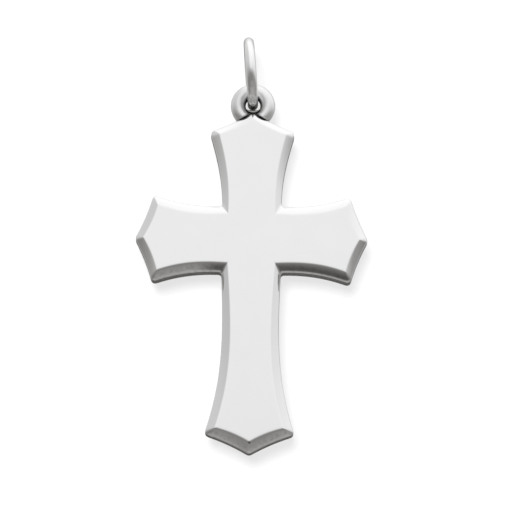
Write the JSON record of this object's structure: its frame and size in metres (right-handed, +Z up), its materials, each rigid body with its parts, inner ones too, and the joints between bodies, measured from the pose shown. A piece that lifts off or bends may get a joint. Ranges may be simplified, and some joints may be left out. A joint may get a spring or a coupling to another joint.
{
  "type": "cross pendant",
  "caption": "Small polished silver cross pendant with flared, pointed arms and bevelled edges, a thick eyelet on its top tip and a round jump ring linked through it.",
  "frame": {"origin": "the middle of the whole pendant's box, with the ring included", "axes": "+Z up along the cross's upright, -Y out of the cross's polished front, +X to the right seen from the front"},
  "size_m": [0.0226, 0.0072, 0.0414],
  "materials": {
    "polished_silver": "mirror polished silver",
    "satin_silver": "satin silver",
    "silver_solder": "dull silver solder"
  },
  "bodies": {
    "ring": {"jump_ring": "polished_silver"},
    "cross": {"cross_front": "polished_silver", "cross_back": "satin_silver", "eyelet": "polished_silver", "eyelet_solder_left": "silver_solder", "eyelet_solder_right": "silver_solder"}
  },
  "joints": [
    {"name": "cross_swing", "type": "hinge", "parent": "ring", "child": "cross", "pos_m": [0, 0, 0.01384], "axis": [0, 1, 0], "range_deg": [-60, 60]}
  ]
}
